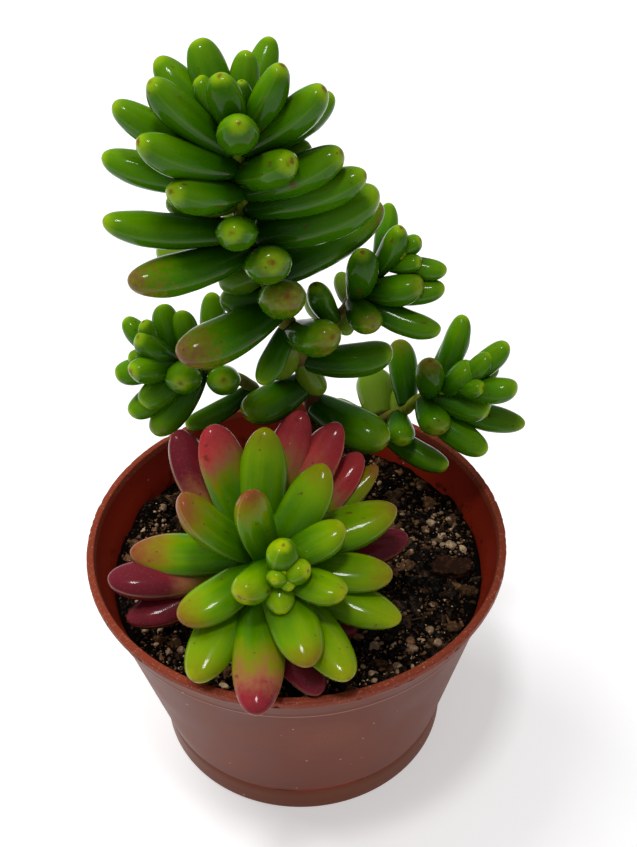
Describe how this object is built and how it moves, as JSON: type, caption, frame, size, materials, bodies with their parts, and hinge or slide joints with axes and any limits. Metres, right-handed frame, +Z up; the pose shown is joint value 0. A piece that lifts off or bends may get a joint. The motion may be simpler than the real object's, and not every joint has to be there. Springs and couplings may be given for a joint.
{
  "type": "potted jelly bean plant",
  "caption": "Potted succulent: a round plastic nursery pot of peat soil with a tall branching stem of bean-shaped leaves and a low rosette in front.",
  "frame": {"origin": "middle of the pot's flat base, on the surface that the pot stands on", "axes": "+Z up along the pot's axis; -Y towards the front rosette's side; +X to the right seen from the front"},
  "size_m": [0.0958, 0.0953, 0.1599],
  "materials": {
    "pot_plastic": "satin",
    "peat": "matte",
    "bark": "matte",
    "leaf_green": "gloss",
    "rosette_green": "gloss"
  },
  "bodies": {
    "root": {"pot": "pot_plastic", "soil": "peat", "bark_chip": "bark", "main_stem": "leaf_green", "left_shoot": "leaf_green", "upper_right_shoot": "leaf_green", "lower_right_shoot": "leaf_green", "front_rosette": "rosette_green"}
  },
  "joints": []
}
